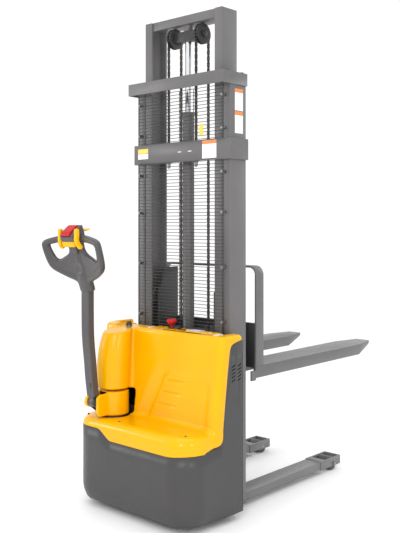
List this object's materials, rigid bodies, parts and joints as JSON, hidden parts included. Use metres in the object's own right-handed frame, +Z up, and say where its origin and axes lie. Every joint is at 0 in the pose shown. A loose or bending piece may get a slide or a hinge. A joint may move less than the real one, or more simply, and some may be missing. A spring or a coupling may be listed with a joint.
{
  "type": "electric pallet stacker",
  "caption": "Walk-behind electric stacker with a two-stage mast, lifting forks over straddle legs, a yellow hood and an offset tiller.",
  "frame": {"origin": "on the floor, under the axis of the lift cylinder, on the centre plane of the mast", "axes": "+Z up, +Y along the forks, +X to the machine's right seen from the operator's side"},
  "size_m": [0.8499, 1.9303, 2.5],
  "materials": {
    "body_grey": "satin powder coat",
    "mast_grey": "satin powder coat",
    "black_paint": "satin",
    "hood_yellow": "glossy moulding",
    "lever_yellow": "satin moulding",
    "handle_grey": "fine texture",
    "black_plastic": "fine texture",
    "red_plastic": "glossy",
    "display": "glossy",
    "nylon": "machined",
    "polyurethane": "cast",
    "drive_tyre": "cast",
    "hose": "matte",
    "zinc": "zinc plated",
    "bare_steel": "machined",
    "cast": "cast",
    "chrome": "polished",
    "chain": "oiled"
  },
  "bodies": {
    "chassis": {"base_frame": "black_paint", "casing": "body_grey", "hood": "hood_yellow", "dash_panel": "hood_yellow", "battery_gauge": "display", "estop_collar": "black_plastic", "battery": "black_plastic", "pump_motor": "black_paint", "oil_tank": "zinc", "hydraulic_hose": "hose", "motor_controller": "black_plastic", "steer_ring": "zinc", "outer_uprights": "mast_grey", "mast_upper_band": "mast_grey", "mast_lower_band": "mast_grey", "mast_foot": "mast_grey", "guard_mesh": "black_paint", "guard_clips": "zinc", "slide_pads": "nylon", "cylinder_tube": "mast_grey", "cylinder_gland": "mast_grey", "mast_chain_anchors": "zinc", "legs": "body_grey", "leg_ends": "body_grey", "load_axles": "zinc", "chain_rear": "chain", "key_lock": "zinc"},
    "drive_unit": {"gearbox": "cast", "drive_motor": "black_paint", "turret_cover": "hood_yellow", "tiller_bracket": "black_paint", "pivot_pin": "zinc"},
    "drive_wheel": {"drive_hub": "cast", "drive_tyre": "drive_tyre"},
    "caster_fork": {"caster_fork": "zinc"},
    "caster_wheel": {"caster_wheel": "polyurethane"},
    "load_roller_left": {"load_roller_left": "nylon"},
    "load_roller_right": {"load_roller_right": "nylon"},
    "inner_mast": {"inner_uprights": "mast_grey", "inner_crossbars": "mast_grey", "crosshead": "black_paint", "lift_rod": "chrome", "chain_wraps": "chain", "chain_front": "chain"},
    "chain_pulleys": {"chain_pulleys": "cast"},
    "mast_rollers": {"mast_rollers": "bare_steel"},
    "carriage": {"carriage_frame": "black_paint", "load_guard": "mast_grey", "fork_left": "mast_grey", "fork_right": "mast_grey"},
    "carriage_rollers_top": {"carriage_rollers_top": "bare_steel"},
    "carriage_rollers_bottom": {"carriage_rollers_bottom": "bare_steel"},
    "tiller": {"tiller_arm": "handle_grey", "tiller_head": "handle_grey", "control_pod": "handle_grey"},
    "belly_button": {"belly_button": "red_plastic"},
    "butterfly": {"butterfly": "lever_yellow"},
    "lift_rocker": {"lift_rocker": "lever_yellow"},
    "estop_button": {"estop_button": "red_plastic"},
    "key": {"key": "black_plastic"}
  },
  "joints": [
    {"name": "steer", "type": "hinge", "parent": "chassis", "child": "drive_unit", "pos_m": [-0.25, -0.298, 0.105], "axis": [0, 0, 1], "range_deg": [-85, 75]},
    {"name": "drive_wheel_spin", "type": "hinge", "parent": "drive_unit", "child": "drive_wheel", "pos_m": [-0.25, -0.298, 0.105], "axis": [1, 0, 0], "continuous": true},
    {"name": "caster_swivel", "type": "hinge", "parent": "chassis", "child": "caster_fork", "pos_m": [0.255, -0.298, 0.15], "axis": [0, 0, 1], "continuous": true},
    {"name": "caster_spin", "type": "hinge", "parent": "caster_fork", "child": "caster_wheel", "pos_m": [0.255, -0.268, 0.065], "axis": [1, 0, 0], "continuous": true},
    {"name": "load_roller_left_spin", "type": "hinge", "parent": "chassis", "child": "load_roller_left", "pos_m": [-0.257, 0.901, 0.037], "axis": [1, 0, 0], "continuous": true},
    {"name": "load_roller_right_spin", "type": "hinge", "parent": "chassis", "child": "load_roller_right", "pos_m": [0.257, 0.901, 0.037], "axis": [1, 0, 0], "continuous": true},
    {"name": "mast_lift", "type": "slide", "parent": "chassis", "child": "inner_mast", "axis": [0, 0, 1], "range_m": [-0.31, 1.25], "deforming": ["chain_rear"]},
    {"name": "carriage_lift", "type": "slide", "parent": "inner_mast", "child": "carriage", "axis": [0, 0, 1], "range_m": [-0.31, 1.25], "deforming": ["chain_front"]},
    {"name": "chain_pulley_spin", "type": "hinge", "parent": "inner_mast", "child": "chain_pulleys", "pos_m": [0, 0, 2.4], "axis": [1, 0, 0], "range_deg": [-1525.8, 379.9]},
    {"name": "mast_roller_spin", "type": "hinge", "parent": "inner_mast", "child": "mast_rollers", "pos_m": [0, 0.009, 0.422], "axis": [1, 0, 0], "range_deg": [-1475.7, 367.5]},
    {"name": "carriage_roller_top_spin", "type": "hinge", "parent": "carriage", "child": "carriage_rollers_top", "pos_m": [0, 0.009, 1.037], "axis": [1, 0, 0], "range_deg": [-1506.6, 375.1]},
    {"name": "carriage_roller_bottom_spin", "type": "hinge", "parent": "carriage", "child": "carriage_rollers_bottom", "pos_m": [0, 0.009, 0.729], "axis": [1, 0, 0], "range_deg": [-1506.6, 375.1]},
    {"name": "tiller_tilt", "type": "hinge", "parent": "drive_unit", "child": "tiller", "pos_m": [-0.25, -0.428, 0.53], "axis": [1, 0, 0], "range_deg": [0, 75], "stiffness_Nm_per_rad": 40, "springref_deg": -28.65},
    {"name": "belly_button_push", "type": "slide", "parent": "tiller", "child": "belly_button", "axis": [0, 0.6247, -0.7809], "range_m": [0, 0.006], "stiffness_N_per_m": 1500},
    {"name": "butterfly_turn", "type": "hinge", "parent": "tiller", "child": "butterfly", "pos_m": [-0.25, -0.58373, 1.34664], "axis": [1, 0, 0], "range_deg": [-10, 10], "stiffness_Nm_per_rad": 2},
    {"name": "lift_rocker_turn", "type": "hinge", "parent": "tiller", "child": "lift_rocker", "pos_m": [-0.25, -0.52966, 1.38734], "axis": [1, 0, 0], "range_deg": [-8, 8], "stiffness_Nm_per_rad": 1},
    {"name": "estop_push", "type": "slide", "parent": "chassis", "child": "estop_button", "axis": [0, 0, 1], "range_m": [-0.006, 0]},
    {"name": "key_turn", "type": "hinge", "parent": "chassis", "child": "key", "pos_m": [-0.245, -0.195, 0.89], "axis": [0, 0, 1], "range_deg": [-90, 0]}
  ],
  "couplings": [
    {"joint": "carriage_lift", "follows": "mast_lift", "ratio": 1},
    {"joint": "chain_pulley_spin", "follows": "mast_lift", "rad_per_m": -21.277},
    {"joint": "mast_roller_spin", "follows": "mast_lift", "rad_per_m": -20.576},
    {"joint": "carriage_roller_top_spin", "follows": "mast_lift", "rad_per_m": -21.008},
    {"joint": "carriage_roller_bottom_spin", "follows": "mast_lift", "rad_per_m": -21.008}
  ]
}
